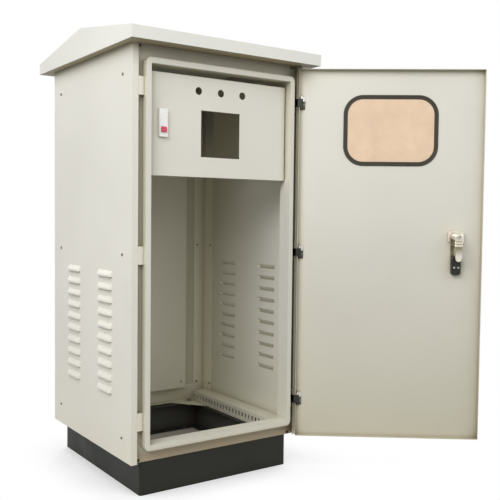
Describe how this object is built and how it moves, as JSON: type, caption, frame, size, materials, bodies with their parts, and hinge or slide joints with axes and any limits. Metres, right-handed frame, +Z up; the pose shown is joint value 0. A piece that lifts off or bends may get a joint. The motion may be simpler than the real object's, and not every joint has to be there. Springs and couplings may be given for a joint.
{
  "type": "outdoor utility cabinet",
  "caption": "Floor-standing outdoor steel cabinet on a dark plinth with a gabled rain roof, louvred sides, a windowed hinged door and an inner instrument panel.",
  "frame": {"origin": "on the floor, at the centre of the plinth's anchor bolt pattern", "axes": "+X along the front to the hinge side, the front faces -Y, +Z up"},
  "size_m": [1.0844, 1.0392, 1.385],
  "materials": {
    "body_paint": "satin powder coat",
    "roof_paint": "satin powder coat",
    "plinth_paint": "satin",
    "zinc_steel": "zinc plated",
    "hinge_steel": "black oxide",
    "lock_chrome": "polished",
    "lock_black": "moulded",
    "window_rubber": "matt",
    "window_pane": "clear, amber tint",
    "latch_white": "moulded",
    "latch_red": "moulded"
  },
  "bodies": {
    "cabinet": {"front_frame": "body_paint", "hinge_lugs_left": "body_paint", "hinge_lugs_right": "body_paint", "rear_post_left": "body_paint", "rear_post_right": "body_paint", "rear_rail_bottom": "body_paint", "rear_rail_top": "body_paint", "side_rail_left": "body_paint", "side_rail_right": "body_paint", "top_rail_left": "body_paint", "top_rail_right": "body_paint", "side_panel_left": "body_paint", "side_panel_right": "body_paint", "back_panel": "body_paint", "top_panel": "body_paint", "roof_bearer_left": "body_paint", "roof_bearer_right": "body_paint", "plate_bar_left": "body_paint", "plate_bar_right": "body_paint", "floor_gusset_left": "body_paint", "floor_gusset_right": "body_paint", "mounting_plate": "body_paint", "instrument_panel": "body_paint", "pivot_brackets": "body_paint", "roof": "roof_paint", "plinth": "plinth_paint", "plinth_bolts": "zinc_steel", "plinth_nuts": "zinc_steel", "side_screws_left": "zinc_steel", "side_screws_right": "zinc_steel", "back_screws": "zinc_steel", "roof_bolts": "zinc_steel", "roof_nuts": "zinc_steel", "plate_bolts": "zinc_steel", "pivot_pins": "zinc_steel", "hinge_screws": "zinc_steel", "latch_tongue": "zinc_steel", "hinge_arm_lower": "hinge_steel", "hinge_arm_middle": "hinge_steel", "hinge_arm_upper": "hinge_steel", "latch_housing": "latch_white"},
    "door": {"door_shell": "body_paint", "window_rubber": "window_rubber", "window_pane": "window_pane", "lock_boss": "lock_chrome", "lock_strap": "lock_chrome", "lock_clamp": "lock_black", "clamp_screws": "zinc_steel", "lock_plate": "lock_chrome", "hinge_leaf_lower": "hinge_steel", "hinge_leaf_middle": "hinge_steel", "hinge_leaf_upper": "hinge_steel", "hinge_pin_lower": "zinc_steel", "hinge_pin_middle": "zinc_steel", "hinge_pin_upper": "zinc_steel"},
    "lock_rotor": {"lock_handle": "lock_chrome", "lock_spindle": "zinc_steel", "lock_cam": "lock_chrome", "cam_nut": "zinc_steel"},
    "latch_button": {"latch_button": "latch_red"}
  },
  "joints": [
    {"name": "door_hinge", "type": "hinge", "parent": "cabinet", "child": "door", "pos_m": [0.287, -0.317, 0.7], "axis": [0, 0, 1], "range_deg": [-142.7, 17.3]},
    {"name": "lock_turn", "type": "hinge", "parent": "door", "child": "lock_rotor", "pos_m": [0.68474, -0.61999, 0.755], "axis": [-0.606, -0.7955, 0], "range_deg": [0, 90]},
    {"name": "latch_press", "type": "slide", "parent": "cabinet", "child": "latch_button", "axis": [0, 1, 0], "range_m": [0, 0.003], "stiffness_N_per_m": 300}
  ]
}
